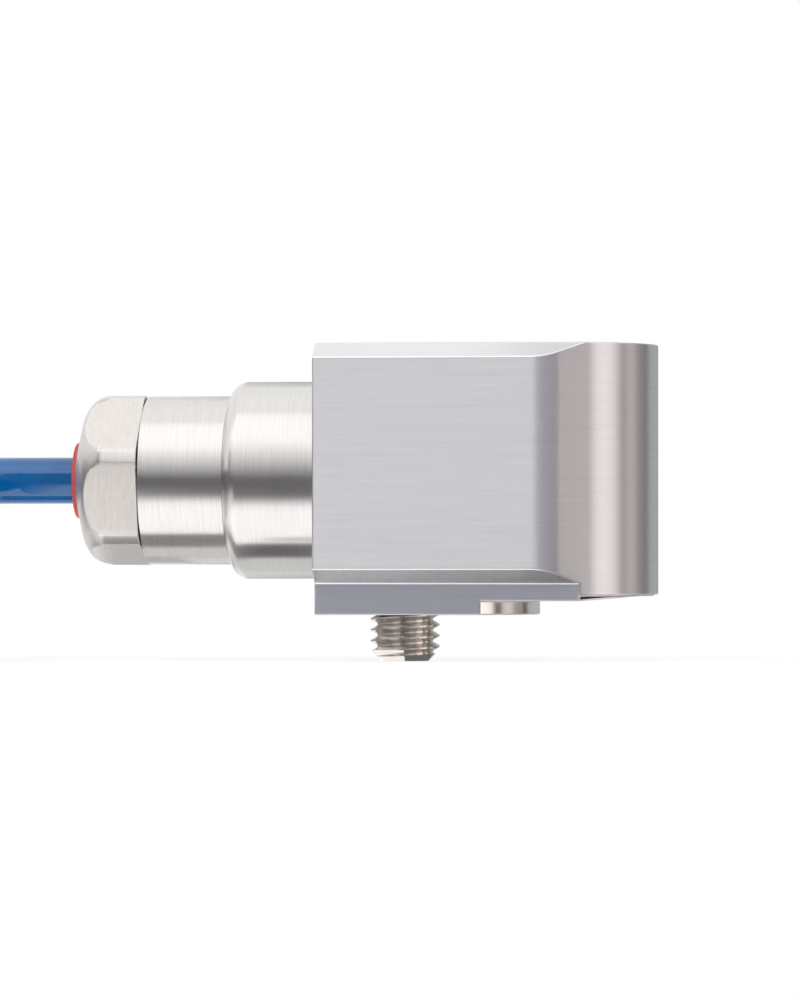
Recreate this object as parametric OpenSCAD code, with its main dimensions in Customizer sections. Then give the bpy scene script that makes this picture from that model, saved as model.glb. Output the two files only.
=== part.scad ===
// Vibration sensor with a fixed cable, screwed down by a stud in its foot.
// Millimetres. The origin is on the stud's axis in the plane of the mounting pad.
// The nose points along +X, the cable leaves along -X, the front is -Y and +Z is up.

/* [Housing] */
// Height of the block above the mounting pad's face
body_h = 31; // [29:0.5:36]
// Depth of the block from front to back
body_d = 28; // [26:0.5:32]
// Length of the block from its cable side to the tip of the nose
body_len = 38.3; // [37.5:0.1:45]
// Distance from the stud's axis to the block's cable side
body_back = 9; // [8:0.1:9.5]
// Radius of the round nose
nose_r = 13; // [12:0.1:13.2]
// Radius of the rounded shoulders
shoulder_r = 7.3; // [6:0.1:8]
// Distance from the tip of the nose to the shoulder's centre
shoulder_back = 13.5; // [13.1:0.1:14.3]
// Depth of the chamfers along the top edges
top_chamfer_d = 2.4; // [1:0.1:3]
// Height of the chamfers along the top edges
top_chamfer_h = 1.7; // [1:0.1:2.5]
// How far the foot stands back from the block's front and back
foot_step = 2; // [1:0.1:2.5]
// Height of the foot's upright faces
foot_h = 3.6; // [3:0.1:4.5]
// Height of the slope from the foot to the block
foot_slope_h = 1.6; // [1:0.1:2.5]

/* [Underside] */
// Radius of the round mounting pad
pad_r = 15.6; // [15.2:0.1:17]
// Height of the pad above the relieved underside
pad_h = 1.6; // [1:0.1:2]
// Height of the nose's lower rim
rim_h = 2.3; // [2.1:0.1:2.8]
// How far the underside stands in from the nose's lower rim
rim_in = 0.5; // [0.3:0.1:1]
// Distance from the tip of the nose to where the lower rim starts
rim_back = 8.1; // [8.1:0.1:9.5]

/* [Mounting stud] */
// Outer diameter of the stud's thread
stud_d = 8; // [7:0.5:10]
// Length of the stud below the pad
stud_out = 5.4; // [4:0.1:9]
// Length of the stud inside the housing
stud_in = 5.6; // [4:0.1:5.9]
// Diameter of the stud's flat tip
stud_tip_d = 5.4; // [4:0.1:5.5]
// Width across the flats of the stud's key socket
socket_af = 4; // [2:0.5:4]
// Depth of the key socket
socket_depth = 3; // [2:0.1:4]
// How far the stud stands in where it sits in the housing, on the radius
stud_seat_in = 0.4; // [0.2:0.1:0.6]
// Clearance between stud and hole, on the radius
stud_clear = 0.05; // [0.02:0.01:0.1]
// Depth of the hole's countersunk mouth
mouth_depth = 1.35; // [1.2:0.05:1.6]

/* [Neck] */
// Diameter of the neck
neck_d = 22.8; // [22:0.1:25]
// Length of the neck outside the housing
neck_len = 11; // [9:0.5:16]
// Radius of the neck's rounded outer edge
neck_round = 1.8; // [0.5:0.1:1.8]
// Diameter of the neck's spigot in the housing
spigot_d = 17; // [16.4:0.1:17.4]
// Length of the neck's spigot in the housing
spigot_len = 5; // [3:0.5:6]
// Diameter of the neck's inner bore
neck_bore_d = 13; // [10:0.1:14]

/* [Cable gland] */
// Diameter of the gland's barrel
gland_d = 19.5; // [18.9:0.1:21]
// Length of the gland's barrel
gland_len = 9.85; // [8:0.05:14]
// Diameter of the gland's thread in the neck
gland_thread_d = 15; // [14.5:0.1:15.4]
// Length of the gland's thread in the neck
gland_thread_len = 6; // [4:0.5:7]
// Diameter of the gland's thread in the nut
nut_thread_d = 15.2; // [14:0.1:16]
// Length of the gland's thread in the nut
nut_thread_len = 5.7; // [4:0.1:5.8]
// Width of the nut across its flats
nut_af = 18; // [17.6:0.1:18.4]
// Diameter to which the nut's corners are turned
nut_turned_d = 19.9; // [19:0.1:20.2]
// Length of the nut
nut_len = 7.9; // [7.3:0.1:10]
// Gap between the nut and the gland's barrel
nut_gap = 0.15; // [0.1:0.05:1]
// Thickness of the nut's end wall
nut_wall = 1.2; // [0.8:0.1:1.3]
// Radius of the nut's domed end
nut_dome_r = 3.2; // [2:0.1:3.4]
// Slope of the nut's end face
nut_end_slope = 15; // [8:1:18]
// Thickness of the thrust ring
thrust_t = 1; // [0.6:0.1:1.2]
// Clearance of parts that slide into each other, on the radius
slide_clear = 0.05; // [0.02:0.01:0.1]

/* [Seals] */
// Diameter of the seal's lip round the cable
seal_lip_d = 8.8; // [8:0.1:10]
// How far the lip stands out of the nut
seal_lip_out = 0.5; // [0.2:0.1:1]
// Diameter of the seal inside the gland
seal_d = 11; // [10.6:0.1:12]
// Length of the seal inside the gland
seal_len = 10; // [8:0.5:10.5]
// Thickness of the O-ring
oring_t = 1.2; // [0.8:0.1:1.4]

/* [Cable] */
// Outer diameter of the cable
cable_d = 5.4; // [4.6:0.1:5.4]
// Number of layers of turns in the coil
coil_layers = 4; // [3:1:5]
// Width of the coil's bundle of turns
coil_w = 18.4; // [15:0.1:19]
// Thickness of the coil's ties
tie_t = 0.9; // [0.5:0.1:0.95]
// Width of the coil's ties
tie_w = 4; // [3:0.1:6]
// Diameter of one core with its insulation
core_d = 1.1; // [0.8:0.1:1.1]
// Length of the cores bared at the cable's far end
bare_len = 40; // [25:1:42]
// Length of the crimped end ferrules
ferrule_len = 7; // [5:0.5:9]
// Outer diameter of the crimped end ferrules
ferrule_d = 1.3; // [1.2:0.1:1.4]

/* [Electronics] */
// Diameter of the housing's inner bore
bore_d = 15; // [14:0.1:15.4]
// Thickness of the nose beyond the bore's end
nose_wall = 7.3; // [5.3:0.1:8.3]
// Thickness of the circuit board
board_t = 1; // [0.8:0.1:1.6]
// Width of the circuit board
board_w = 12; // [10:0.5:12.5]
// Height of the board's underside above the bore's axis, negative below it
board_drop = -2.5; // [-3.2:0.1:-2.2]
// Clearance round the board carrier
carrier_clear = 0.1; // [0.05:0.05:0.3]
// Side of the square accelerometer chip
accel_side = 5; // [4:0.5:6]
// Height of the accelerometer chip
accel_h = 1.6; // [1:0.1:2.5]
// Spacing of the cores and of their pins on the board
core_pitch = 1.25; // [1.25:0.05:1.4]

/* [Hidden] */
$fn = 96;

steel = "silver";
half_d = body_d / 2;
foot_half = half_d - foot_step;
axis_z = body_h / 2;

// Places along the nose side, from the stud's axis
nose_reach = body_len - body_back;
nose_x = nose_reach - nose_r;
shoulder_x = nose_reach - shoulder_back;
rim_x = nose_reach - rim_back;
bore_end = nose_reach - nose_wall;

// Straight flank that touches both the shoulder and the nose
flank_dx = nose_x - shoulder_x;
flank_dy = half_d - shoulder_r;
flank_turn = acos((nose_r - shoulder_r) / norm([flank_dx, flank_dy])) - atan2(flank_dx, flank_dy);

// Places along the cable side, all on the bore's axis
neck_x = -body_back - neck_len;
barrel_x = neck_x - gland_len;
nut_back_x = barrel_x - nut_gap;
nut_end_x = nut_back_x - nut_len;
nut_shoulder_x = nut_end_x + nut_wall;
thread_end_x = barrel_x - nut_thread_len;
exit_x = nut_end_x - seal_lip_out;
seal_back_x = thread_end_x + seal_len;
jacket_end_x = neck_x + gland_thread_len - 1;
gland_in_x = neck_x + gland_thread_len;

// Places of the board and what it carries
board_z = axis_z + board_drop;
board_top = board_z + board_t;
board_x = spigot_len - body_back + 1;
board_end = bore_end - 1.5;
pin_x = board_x + 1;
pin_d = 0.8;
core_row = [-1.5, -0.5, 0.5, 1.5];
accel_x = board_end - accel_side;
amplifier_x = accel_x - accel_side - 3;
regulator_x = amplifier_x - 4.5;
capacitor_row = [1.5, 2.5, 3.5];
capacitor_pitch = 2;

// The coil lies on its ties, in the plane of the stud's tip
coil_r = 34.7;
coil_z = tie_t + 2 * slide_clear - stud_out;
coil_h = coil_layers * cable_d;
coil_out_r = coil_r + cable_d / 2;
coil_in_r = coil_out_r - coil_w;
tail_z = coil_z + cable_d / 2;

// Route of the lead: straight out of the seal, then over to the coil's highest outer turn
exit_point = [exit_x, 0, axis_z];
lead_straight = 8;
lead_bend = 35;
lead_shift = 11.3;
lead_drop = axis_z - coil_z - coil_h + cable_d / 2;
lead_places = [0, 4, 8, 11, 14, 17, 20, 23, 26, 29, 32, 35, 38, 41, 44, 44.8];
function lead_share(x) = (1 - cos(180 * min(1, max(0, x - lead_straight) / lead_bend))) / 2;
lead_route = [for (x = lead_places) exit_point + [-x, lead_shift * lead_share(x), -lead_drop * lead_share(x)]];
lead_end = lead_route[len(lead_route) - 1];
coil_mid = [lead_end.x, lead_end.y - coil_r];
coil_break = 1.2;
notch_clear = 0.2;
lead_room = 60;
tail_room = 127;
tail_from = 225;
tail_turn = 45;
tie_turn = -45;
bare_turn = bare_len / coil_r * 180 / PI;
tail_cores = [[-0.8, -0.8], [0.8, -0.8], [-0.8, 0.8], [0.8, 0.8]];

// Turned shape on the bore's axis, from a profile of radius and place along X
module turned() {
    translate([0, 0, axis_z])
        rotate([0, 90, 0])
            rotate_extrude()
                children();
}

// Round bar on the bore's axis
module bar(d, from, to, y = 0, z = 0) {
    translate([from, y, axis_z + z])
        rotate([0, 90, 0])
            cylinder(d = d, h = to - from);
}

// Outline of the block and nose seen from above, set in all round by a margin
module plan(margin = 0) {
    way = [sin(flank_turn), cos(flank_turn)];
    half = half_d - margin;
    shoulder = shoulder_r - margin;
    nose = nose_r - margin;
    from_shoulder = [shoulder_x, flank_dy] + shoulder * way;
    to_nose = [nose_x, 0] + nose * way;
    polygon([
        [-body_back, -half], [shoulder_x, -half], [from_shoulder.x, -from_shoulder.y],
        [to_nose.x, -to_nose.y], to_nose, from_shoulder, [shoulder_x, half], [-body_back, half]
    ]);
    for (side = [-1, 1])
        translate([shoulder_x, side * flank_dy])
            circle(r = shoulder);
    translate([nose_x, 0])
        circle(r = nose);
}

// Cross-section of the block: foot, slope, upright faces and top chamfers
module section() {
    slope_top = foot_h + foot_slope_h;
    chamfer_z = body_h - top_chamfer_h;
    top_half = half_d - top_chamfer_d;
    polygon([
        [-foot_half, 0], [foot_half, 0], [foot_half, foot_h], [half_d, slope_top], [half_d, chamfer_z],
        [top_half, body_h], [-top_half, body_h], [-half_d, chamfer_z], [-half_d, slope_top],
        [-foot_half, foot_h]
    ]);
}

module housing() {
    hole_r = stud_d / 2 - stud_seat_in + stud_clear;
    spigot_r = spigot_d / 2 + slide_clear;
    color(steel) difference() {
        intersection() {
            linear_extrude(body_h) plan();
            translate([-body_back - 1, 0, 0])
                rotate([90, 0, 90])
                    linear_extrude(body_len + 2)
                        section();
        }
        // The underside stands up from the pad all round it
        difference() {
            translate([-body_back - 1, -body_d, -1])
                cube([body_len + 2, 2 * body_d, pad_h + 1]);
            translate([0, 0, -2])
                cylinder(r = pad_r, h = pad_h + 4);
        }
        // The nose has a narrow rim, and inside it the underside slopes up towards the tip
        difference() {
            translate([rim_x, -body_d, -1])
                cube([nose_reach, 2 * body_d, rim_h + 1]);
            intersection() {
                linear_extrude(body_h) plan(rim_in);
                translate([0, body_d, 0])
                    rotate([90, 0, 0])
                        linear_extrude(2 * body_d)
                            polygon([[rim_x - 1, pad_h - 0.1], [nose_reach, rim_h], [rim_x - 1, rim_h + 1]]);
            }
        }
        // Blind hole for the stud
        translate([0, 0, -1])
            cylinder(r = hole_r, h = stud_in + 1.2);
        translate([0, 0, -0.01])
            cylinder(r1 = hole_r + mouth_depth, r2 = hole_r, h = mouth_depth);
        // Bore for the board, stepped for the neck's spigot
        bar(bore_d, -body_back - 1, bore_end);
        bar(2 * spigot_r, -body_back - 1, spigot_len - body_back + slide_clear);
    }
}

module mounting_stud() {
    tip_h = (stud_d - stud_tip_d) / 2;
    seat_r = stud_d / 2 - stud_seat_in;
    seat_end = stud_in - seat_r + stud_tip_d / 2;
    color(steel) difference() {
        rotate_extrude()
            polygon([
                [0, -stud_out], [stud_tip_d / 2, -stud_out], [stud_d / 2, tip_h - stud_out],
                [stud_d / 2, 0], [seat_r, 0], [seat_r, seat_end], [stud_tip_d / 2, stud_in], [0, stud_in]
            ]);
        translate([0, 0, -stud_out - 1])
            cylinder(d = socket_af / cos(30), h = socket_depth + 1, $fn = 6);
    }
}

module neck_sleeve() {
    seat_r = gland_thread_d / 2 + slide_clear;
    spigot_x = spigot_len - body_back;
    color(steel) turned() difference() {
        union() {
            difference() {
                translate([seat_r, neck_x]) square([neck_d / 2 - seat_r, neck_len]);
                translate([neck_d / 2 - neck_round, neck_x - 1]) square([neck_round + 1, neck_round + 1]);
            }
            translate([neck_d / 2 - neck_round, neck_x + neck_round]) circle(r = neck_round);
            translate([neck_bore_d / 2, gland_in_x + slide_clear])
                square([neck_d / 2 - neck_bore_d / 2 - 1, -body_back - gland_in_x - slide_clear]);
            translate([neck_bore_d / 2, -body_back - 0.5])
                square([spigot_d / 2 - neck_bore_d / 2, spigot_len + 0.5]);
        }
    }
}

module gland_body() {
    thread_r = gland_thread_d / 2;
    seal_r = seal_d / 2 + slide_clear;
    cable_r = cable_d / 2 + 0.5;
    groove_r = gland_d / 2 - 0.4 - oring_t;
    color(steel) turned() difference() {
        polygon([
            [seal_r, thread_end_x], [nut_thread_d / 2, thread_end_x], [nut_thread_d / 2, barrel_x],
            [gland_d / 2, barrel_x], [gland_d / 2, neck_x], [thread_r, neck_x], [thread_r, gland_in_x],
            [cable_r + 1, gland_in_x], [cable_r + 1, neck_x], [cable_r, neck_x - 1],
            [cable_r, seal_back_x + 1], [seal_r, seal_back_x]
        ]);
        translate([groove_r, neck_x - oring_t - slide_clear]) square([oring_t, 2 * oring_t]);
    }
}

// Turned outline of the nut: sloping end, rounded edge and straight side
module nut_outline() {
    turned_r = nut_turned_d / 2;
    dome_mid = turned_r - nut_dome_r;
    lip_r = seal_lip_d / 2 + slide_clear;
    meet_r = dome_mid + nut_dome_r * sin(nut_end_slope);
    meet_x = nut_end_x + (meet_r - lip_r) * tan(nut_end_slope);
    dome_x = meet_x + nut_dome_r * cos(nut_end_slope);
    polygon([
        [0, nut_end_x], [lip_r, nut_end_x], [meet_r, meet_x], [turned_r, dome_x], [turned_r, nut_back_x],
        [0, nut_back_x]
    ]);
    translate([dome_mid, dome_x]) circle(r = nut_dome_r);
}

module gland_nut() {
    flat_turn = 14;
    color(steel) difference() {
        intersection() {
            turned() intersection() {
                nut_outline();
                translate([0, nut_end_x - 1]) square([nut_turned_d, nut_len + 1]);
            }
            translate([nut_end_x - 1, 0, axis_z])
                rotate([0, 90, 0])
                    rotate([0, 0, flat_turn])
                        cylinder(d = nut_af / cos(30), h = nut_len + 2, $fn = 6);
        }
        bar(nut_thread_d + 2 * slide_clear, nut_shoulder_x, nut_back_x + 1);
        bar(seal_lip_d + 2 * slide_clear, nut_end_x - 1, nut_shoulder_x + 1);
    }
}

module thrust_ring() {
    from = thread_end_x - thrust_t;
    color("gainsboro") difference() {
        bar(nut_thread_d - 0.2, from, thread_end_x);
        bar(seal_lip_d + 2 * slide_clear, from - 1, thread_end_x + 1);
    }
}

module cable_seal() {
    color("firebrick") difference() {
        union() {
            bar(seal_lip_d, exit_x, thread_end_x + 0.5);
            bar(seal_d, thread_end_x, seal_back_x);
        }
        bar(cable_d + 2 * slide_clear, exit_x - 1, seal_back_x + 1);
    }
}

module o_ring() {
    mid_r = gland_d / 2 - 0.4 - oring_t / 2;
    color("black") turned()
        translate([mid_r, neck_x - oring_t / 2]) circle(d = oring_t - slide_clear);
}

module board_carrier() {
    from = board_x - 0.5;
    color("dimgray") difference() {
        bar(bore_d - 2 * carrier_clear, from, bore_end - 0.5);
        translate([from - 1, -bore_d, board_z]) cube([bore_end - from + 2, 2 * bore_d, bore_d]);
        translate([board_x + 2, -board_w / 2 + 2, board_z - 1.5])
            cube([board_end - board_x - 4, board_w - 4, 3]);
    }
}

module circuit_board() {
    color("darkgreen")
        translate([board_x, -board_w / 2, board_z]) cube([board_end - board_x, board_w, board_t]);
}

// Component lying on the board, by the place of its middle and its size
module on_board(x, y, size) {
    translate([x - size.x / 2, y - size.y / 2, board_top]) cube(size);
}

module accelerometer_chip() {
    color("dimgray") on_board(accel_x, 0, [accel_side, accel_side, accel_h]);
}

module amplifier_chip() {
    color("black") on_board(amplifier_x, 0, [5, 4, 1.5]);
}

module voltage_regulator() {
    color("black") on_board(regulator_x, 3, [3, 3, 1.2]);
}

module filter_capacitors() {
    color("tan") for (k = capacitor_row)
        on_board(amplifier_x - k * capacitor_pitch, -3.5, [1.25, 2, 1.2]);
}

module terminal_pins() {
    color("gold") for (k = core_row)
        translate([pin_x, k * core_pitch, board_top])
            cylinder(d = pin_d, h = axis_z - board_top + core_d / 2 + 0.2);
}

module resin_plug() {
    from = gland_in_x + 0.5;
    to = spigot_len - body_back;
    color("saddlebrown") difference() {
        bar(neck_bore_d, from, to);
        for (k = core_row)
            bar(core_d + 2 * slide_clear, from - 1, to + 1, k * core_pitch);
    }
}

// One core from the cable's jacket to its pin on the board
module inner_core(k, tint) {
    color(tint) bar(core_d, jacket_end_x, pin_x - pin_d / 2, core_row[k] * core_pitch);
}

module core_brown() inner_core(0, "saddlebrown");
module core_white() inner_core(1, "white");
module core_blue() inner_core(2, "royalblue");
module core_black() inner_core(3, "black");

module shield_ferrule() {
    from = jacket_end_x - 4;
    to = jacket_end_x - 0.3;
    color("goldenrod") difference() {
        bar(cable_d + 1.6, from, to);
        bar(cable_d + 2 * slide_clear, from - 1, to + 1);
    }
}

module cable_entry() {
    color("steelblue") bar(cable_d, exit_x, jacket_end_x);
}

// Tube swept along a route that never stands upright
module swept(route, d, sides) {
    last = len(route) - 1;
    rings = [
        for (i = [0 : last])
            let (
                way = route[min(i + 1, last)] - route[max(i - 1, 0)],
                side = cross([0, 0, 1], way) / norm(cross([0, 0, 1], way)),
                up = cross(way, side) / norm(way)
            )
            for (k = [0 : sides - 1])
                route[i] + d / 2 * (cos(k * 360 / sides) * side + sin(k * 360 / sides) * up)
    ];
    walls = [
        for (i = [0 : last - 1])
            for (k = [0 : sides - 1])
                let (n = (k + 1) % sides)
                [i * sides + k, (i + 1) * sides + k, (i + 1) * sides + n, i * sides + n]
    ];
    first_cap = [for (k = [0 : sides - 1]) k];
    last_cap = [for (k = [0 : sides - 1]) last * sides + sides - 1 - k];
    polyhedron(points = rings, faces = concat(walls, [first_cap, last_cap]));
}

module cable_lead() {
    color("steelblue") swept(lead_route, cable_d, 10);
}

// Rectangle with its corners cut off
module cut_rectangle(low, size, cut) {
    high = low + size;
    polygon([
        [low.x + cut, low.y], [high.x - cut, low.y], [high.x, low.y + cut], [high.x, high.y - cut],
        [high.x - cut, high.y], [low.x + cut, high.y], [low.x, high.y - cut], [low.x, low.y + cut]
    ]);
}

// Turn of the coil, from one angle over another
module coil_turn(from, turn) {
    translate([coil_mid.x, coil_mid.y, 0])
        rotate([0, 0, from])
            rotate_extrude(angle = turn)
                children();
}

module cable_coil() {
    outer = coil_r - cable_d / 2 - notch_clear;
    color("steelblue") difference() {
        translate([coil_mid.x, coil_mid.y, 0])
            rotate_extrude()
                cut_rectangle([coil_in_r, coil_z], [coil_w, coil_h], coil_break);
        // Room for the lead on its way to the highest turn
        coil_turn(90 - lead_room, lead_room)
            translate([outer, lead_end.z - cable_d / 2 - notch_clear]) square([cable_d + 4, cable_d + 4]);
        // Room for the end of the cable in the lowest turn
        coil_turn(tail_from, tail_room)
            translate([outer, coil_z - 1]) square([cable_d + 4, cable_d + notch_clear + 1]);
    }
}

module cable_tail() {
    color("steelblue") coil_turn(tail_from, tail_turn)
        translate([coil_r, tail_z]) circle(d = cable_d);
}

// Strap round the bundle of turns, at one side of the coil
module coil_tie(side) {
    low = [coil_in_r - 2 * notch_clear, coil_z - slide_clear];
    size = [coil_w + 3 * notch_clear, coil_h + 2 * slide_clear];
    wall = [tie_t, tie_t];
    color("black")
        translate([coil_mid.x, coil_mid.y, 0])
            rotate([0, 0, side < 0 ? tie_turn + 180 : tie_turn])
                rotate([90, 0, 0])
                    linear_extrude(tie_w, center = true)
                        difference() {
                            cut_rectangle(low - wall, size + 2 * wall, coil_break + tie_t / 2);
                            cut_rectangle(low, size, coil_break - 0.2);
                        }
}

module coil_tie_near() coil_tie(1);
module coil_tie_far() coil_tie(-1);

// One bared core that goes on from the jacket's end
module tail_core(k, tint) {
    color(tint) coil_turn(tail_from + tail_turn, bare_turn)
        translate([coil_r, tail_z] + tail_cores[k]) circle(d = core_d);
}

module tail_core_brown() tail_core(0, "saddlebrown");
module tail_core_white() tail_core(1, "white");
module tail_core_blue() tail_core(2, "royalblue");
module tail_core_black() tail_core(3, "black");

module end_ferrules() {
    color("gainsboro") for (place = tail_cores)
        translate([coil_mid.x, coil_mid.y, 0])
            rotate([0, 0, tail_from + tail_turn + bare_turn])
                translate([coil_r + place.x, 0, tail_z + place.y])
                    rotate([-90, 0, 0])
                        cylinder(d = ferrule_d, h = ferrule_len);
}

housing();
mounting_stud();
neck_sleeve();
gland_body();
gland_nut();
thrust_ring();
cable_seal();
o_ring();
board_carrier();
circuit_board();
accelerometer_chip();
amplifier_chip();
voltage_regulator();
filter_capacitors();
terminal_pins();
resin_plug();
core_brown();
core_white();
core_blue();
core_black();
shield_ferrule();
cable_entry();
cable_lead();
cable_coil();
cable_tail();
coil_tie_near();
coil_tie_far();
tail_core_brown();
tail_core_white();
tail_core_blue();
tail_core_black();
end_ferrules();
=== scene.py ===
# %% [markdown]
# A vibration sensor of stainless steel, with a threaded stud in its foot and a fixed blue cable.
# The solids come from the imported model, in metres and in place. This lesson breaks their sharp edges,
# cuts a real thread on the stud, lays the cable and gives each surface the finish that its making left.

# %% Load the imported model
import math
import bpy
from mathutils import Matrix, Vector
from mathutils.geometry import convex_hull_2d


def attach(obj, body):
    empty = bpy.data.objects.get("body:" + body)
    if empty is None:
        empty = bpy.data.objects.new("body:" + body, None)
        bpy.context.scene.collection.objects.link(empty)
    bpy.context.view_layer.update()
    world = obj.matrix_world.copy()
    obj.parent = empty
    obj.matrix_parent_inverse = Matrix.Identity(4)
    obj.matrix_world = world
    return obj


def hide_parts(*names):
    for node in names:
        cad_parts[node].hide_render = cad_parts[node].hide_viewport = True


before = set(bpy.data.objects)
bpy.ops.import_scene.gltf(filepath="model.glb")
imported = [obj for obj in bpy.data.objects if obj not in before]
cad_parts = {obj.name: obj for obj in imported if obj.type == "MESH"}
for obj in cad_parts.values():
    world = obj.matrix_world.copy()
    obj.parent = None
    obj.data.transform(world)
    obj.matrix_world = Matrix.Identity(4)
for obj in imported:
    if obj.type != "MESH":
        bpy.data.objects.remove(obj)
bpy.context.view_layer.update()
print("nodes:", len(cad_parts))

# %% [markdown]
# Lengths are thought of in millimetres, as on a drawing, and Blender is given metres.
# Operators act on whatever is selected, so one helper clears the selection and picks a single piece.

# %% Two small helpers


def mm(value):
    return value * 0.001


def select_only(piece):
    bpy.ops.object.select_all(action="DESELECT")
    piece.select_set(True)
    bpy.context.view_layer.objects.active = piece


# %% [markdown]
# The camera stands almost level with the part, a little to the right of its front, as for a catalogue.
# A long lens from two thirds of a metre keeps the upright edges parallel. The place was found by laying
# the solids' edges over the photograph until the block, the barrels and the stud all agreed.

# %% Camera
camera_data = bpy.data.cameras.new("catalogue_camera")
camera_data.lens = 216
camera_data.sensor_width = 36
camera_data.clip_start = 0.01
camera = bpy.data.objects.new("catalogue_camera", camera_data)
bpy.context.scene.collection.objects.link(camera)
camera.location = (mm(82.8), mm(-689), mm(6.3))
aim_point = Vector((mm(-0.6), 0, mm(13.2)))
aim = aim_point - camera.location
camera.rotation_euler = aim.to_track_quat("-Z", "Y").to_euler()
bpy.context.scene.camera = camera
print("camera distance in mm:", round(aim.length * 1000, 1))

# %% [markdown]
# The cable is cut at two metres, the usual length on a sensor with a fixed cable, and is 5.4 mm thick.
# 1.91 m of it lie outside with the jacket on, and the rest is inside the gland and in the bared end.
# Only the first centimetre shows in the picture. It leaves the gland straight and leans over to the top
# of a tied coil that lies just outside the view.

# %% Route of the lead
cable_d = 5.4
exit_point = Vector((-38.4, 0, 15.5))
lead_places = [0, 4, 8, 11, 14, 17, 20, 23, 26, 29, 32, 35, 38, 41, 44, 44.8]
lead_straight = 8
lead_bend = 35
lead_aside = 11.3
lead_drop = 1.0


def lead_point(x):
    share = min(1, max(0, x - lead_straight) / lead_bend)
    share = (1 - math.cos(math.pi * share)) / 2
    return exit_point + Vector((-x, lead_aside * share, -lead_drop * share))


route = [lead_point(x) for x in lead_places]

# %% [markdown]
# The coil winds down through four layers to the bared end. Each layer winds inwards or outwards by one
# thickness of cable a turn, and then sinks smoothly by one thickness to the next.

# %% Route of the coil
outer_r = 34.7
turns_flat = 2.4
turns_layer = 2.7
turns_all = 10.5
points_per_turn = 20
coil_start = 90
rounding = 1e-9
inner_r = outer_r - turns_flat * cable_d
coil_mid = route[-1] - Vector((0, outer_r, 0))


def coil_point(turns):
    layer = int(turns / turns_layer + rounding)
    along = turns - layer * turns_layer
    travel = min(along, turns_flat) * cable_d
    radius = outer_r - travel if layer % 2 == 0 else inner_r + travel
    step = max(0, (along - turns_flat) / (turns_layer - turns_flat))
    depth = layer + step * step * (3 - 2 * step)
    angle = math.radians(coil_start + 360 * turns)
    return coil_mid + Vector((radius * math.cos(angle), radius * math.sin(angle), -depth * cable_d))


steps = round(turns_all * points_per_turn)
route += [coil_point(turns_all * i / steps) for i in range(1, steps + 1)]
length = sum((b - a).length for a, b in zip(route, route[1:]))
print("points:", len(route), "length in mm:", round(length))

# %% [markdown]
# A cable could be a swept mesh, but one Bezier curve with a round bevel keeps its true length measurable.

# %% Cable
cable_curve = bpy.data.curves.new("blue_cable", "CURVE")
cable_curve.dimensions = "3D"
# The thickness is given at each point, because Blender adds a point's radius to the curve's box
cable_curve.bevel_depth = 1
cable_curve.bevel_resolution = 8
cable_curve.resolution_u = 6
cable_curve.use_fill_caps = True
spline = cable_curve.splines.new("BEZIER")
spline.bezier_points.add(len(route) - 1)
for point, place in zip(spline.bezier_points, route):
    point.co = mm(place)
    point.radius = mm(cable_d / 2)
    point.handle_left_type = "AUTO"
    point.handle_right_type = "AUTO"
cable = bpy.data.objects.new("blue_cable", cable_curve)
bpy.context.scene.collection.objects.link(cable)
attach(cable, "root")
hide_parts("cable_lead", "cable_coil", "cable_tail")

# %% [markdown]
# Colours are written as the hex values that a paint program shows, and Blender's shaders take linear
# light, so one function turns the first into the second. Another adds a shader node with its settings.
# Every finish starts from a pattern, which mixes two tones and lifts the surface a little.

# %% Colour and shader helpers


def linear(hex_colour):
    # The constants are those of the sRGB standard
    values = [int(hex_colour[i : i + 2], 16) / 255 for i in (1, 3, 5)]
    return [v / 12.92 if v <= 0.04045 else ((v + 0.055) / 1.055) ** 2.4 for v in values] + [1.0]


def add(tree, kind, values={}, links={}, **settings):
    node = tree.nodes.new(kind)
    for name, setting in settings.items():
        setattr(node, name, setting)
    for socket, value in values.items():
        node.inputs[socket].default_value = value
    for socket, source in links.items():
        tree.links.new(source, node.inputs[socket])
    return node


def new_finish(name):
    finish = bpy.data.materials.new(name)
    finish.use_nodes = True
    return finish, finish.node_tree, finish.node_tree.nodes["Principled BSDF"]


def tone_and_skin(tree, shader, pattern, light, dark, depth_mm):
    # On a Mix node for colours, sockets 6 and 7 are the two colours, and output 2 is their mixture
    tones = {6: linear(dark), 7: linear(light)}
    tone = add(tree, "ShaderNodeMix", tones, {0: pattern.outputs[0]}, data_type="RGBA")
    relief = {"Strength": 1.0, "Distance": mm(depth_mm)}
    skin = add(tree, "ShaderNodeBump", relief, {"Height": pattern.outputs[0]})
    tree.links.new(tone.outputs[2], shader.inputs["Base Color"])
    tree.links.new(skin.outputs["Normal"], shader.inputs["Normal"])


# %% [markdown]
# Cut and ground steel carries fine parallel grooves. Light spreads across the grooves and stays sharp
# along them, which the Principled shader calls anisotropy: the tangent runs along the grooves and is
# turned by a quarter. A noise that is stretched along the grooves varies the tone and the height a
# little. The real grooves are a few hundredths of a millimetre apart, too fine to show, so they are
# drawn two or three times as coarse.

# %% Grained stainless steel


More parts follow.
